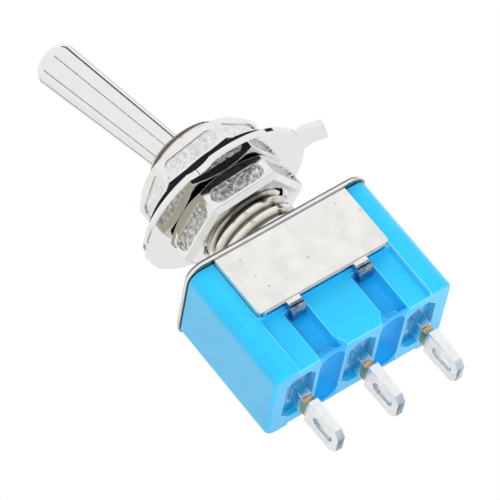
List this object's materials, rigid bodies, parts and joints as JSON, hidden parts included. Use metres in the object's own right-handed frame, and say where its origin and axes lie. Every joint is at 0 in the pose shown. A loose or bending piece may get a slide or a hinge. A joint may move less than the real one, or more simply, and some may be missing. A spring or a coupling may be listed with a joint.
{
  "type": "toggle switch",
  "caption": "Panel-mount miniature toggle switch with bat lever, threaded bushing, hex nuts, keyed locating ring, blue housing and solder-lug terminals.",
  "frame": {"origin": "on the bushing's axis, at the top face of the sheet-metal cover", "axes": "+Z along the bushing towards the lever's tip; X along the row of terminals, the lever rests towards -X; -Y is the front"},
  "size_m": [0.0147, 0.0124, 0.0335],
  "materials": {
    "lever_nickel": "bright nickel plate",
    "bushing_nickel": "bright nickel plate",
    "nut_nickel": "bright nickel plate",
    "ring_nickel": "polished nickel plate",
    "washer_steel": "blued spring steel",
    "cover_steel": "satin nickel-plated sheet steel",
    "housing_blue": "moulded, semi-gloss sky blue",
    "terminal_silver": "silver-plated brass",
    "contact_silver": "silver",
    "rocker_silver": "silver-plated copper alloy",
    "plunger_nylon": "natural nylon",
    "spring_steel": "spring wire",
    "seal_resin": "clear poured resin"
  },
  "bodies": {
    "case": {"bushing": "bushing_nickel", "frame_cover": "cover_steel", "housing": "housing_blue", "terminal_left": "terminal_silver", "terminal_centre": "terminal_silver", "terminal_right": "terminal_silver", "contact_left": "contact_silver", "contact_right": "contact_silver", "seal_left": "seal_resin", "seal_centre": "seal_resin", "seal_right": "seal_resin"},
    "lever_body": {"lever": "lever_nickel", "plunger_spring": "spring_steel"},
    "plunger_body": {"plunger": "plunger_nylon"},
    "rocker_body": {"contact_rocker": "rocker_silver"},
    "ring_body": {"locating_ring": "ring_nickel"},
    "lower_nut_body": {"nut_lower": "nut_nickel"},
    "washer_body": {"lock_washer": "washer_steel"},
    "upper_nut_body": {"nut_upper": "nut_nickel"}
  },
  "joints": [
    {"name": "lever_throw", "type": "hinge", "parent": "case", "child": "lever_body", "pos_m": [0, 0, 0.0049], "axis": [0, 1, 0], "range_deg": [0, 24.6]},
    {"name": "plunger_slide", "type": "slide", "parent": "lever_body", "child": "plunger_body", "axis": [-0.213, 0, 0.977], "range_m": [0, 0.00035], "stiffness_N_per_m": 200, "springref_m": -0.002, "deforming": ["plunger_spring"]},
    {"name": "rocker_tilt", "type": "hinge", "parent": "case", "child": "rocker_body", "pos_m": [0, 0, -0.00548], "axis": [0, 1, 0], "range_deg": [-14, 0]},
    {"name": "ring_slide", "type": "slide", "parent": "case", "child": "ring_body", "axis": [0, 0, 1], "range_m": [-0.0021, 0]},
    {"name": "lower_nut_turn", "type": "hinge", "parent": "ring_body", "child": "lower_nut_body", "pos_m": [0, 0, 0.0033], "axis": [0, 0, 1], "range_deg": [-1010, 0]},
    {"name": "washer_slide", "type": "slide", "parent": "case", "child": "washer_body", "axis": [0, 0, 1], "range_m": [0, 0.00224]},
    {"name": "upper_nut_turn", "type": "hinge", "parent": "washer_body", "child": "upper_nut_body", "pos_m": [0, 0, 0.00686], "axis": [0, 0, 1], "range_deg": [0, 1080]}
  ],
  "couplings": [
    {"joint": "rocker_tilt", "follows": "lever_throw", "ratio": -0.56911},
    {"joint": "lower_nut_turn", "follows": "ring_slide", "rad_per_m": 8377.6},
    {"joint": "upper_nut_turn", "follows": "washer_slide", "rad_per_m": 8377.6}
  ]
}
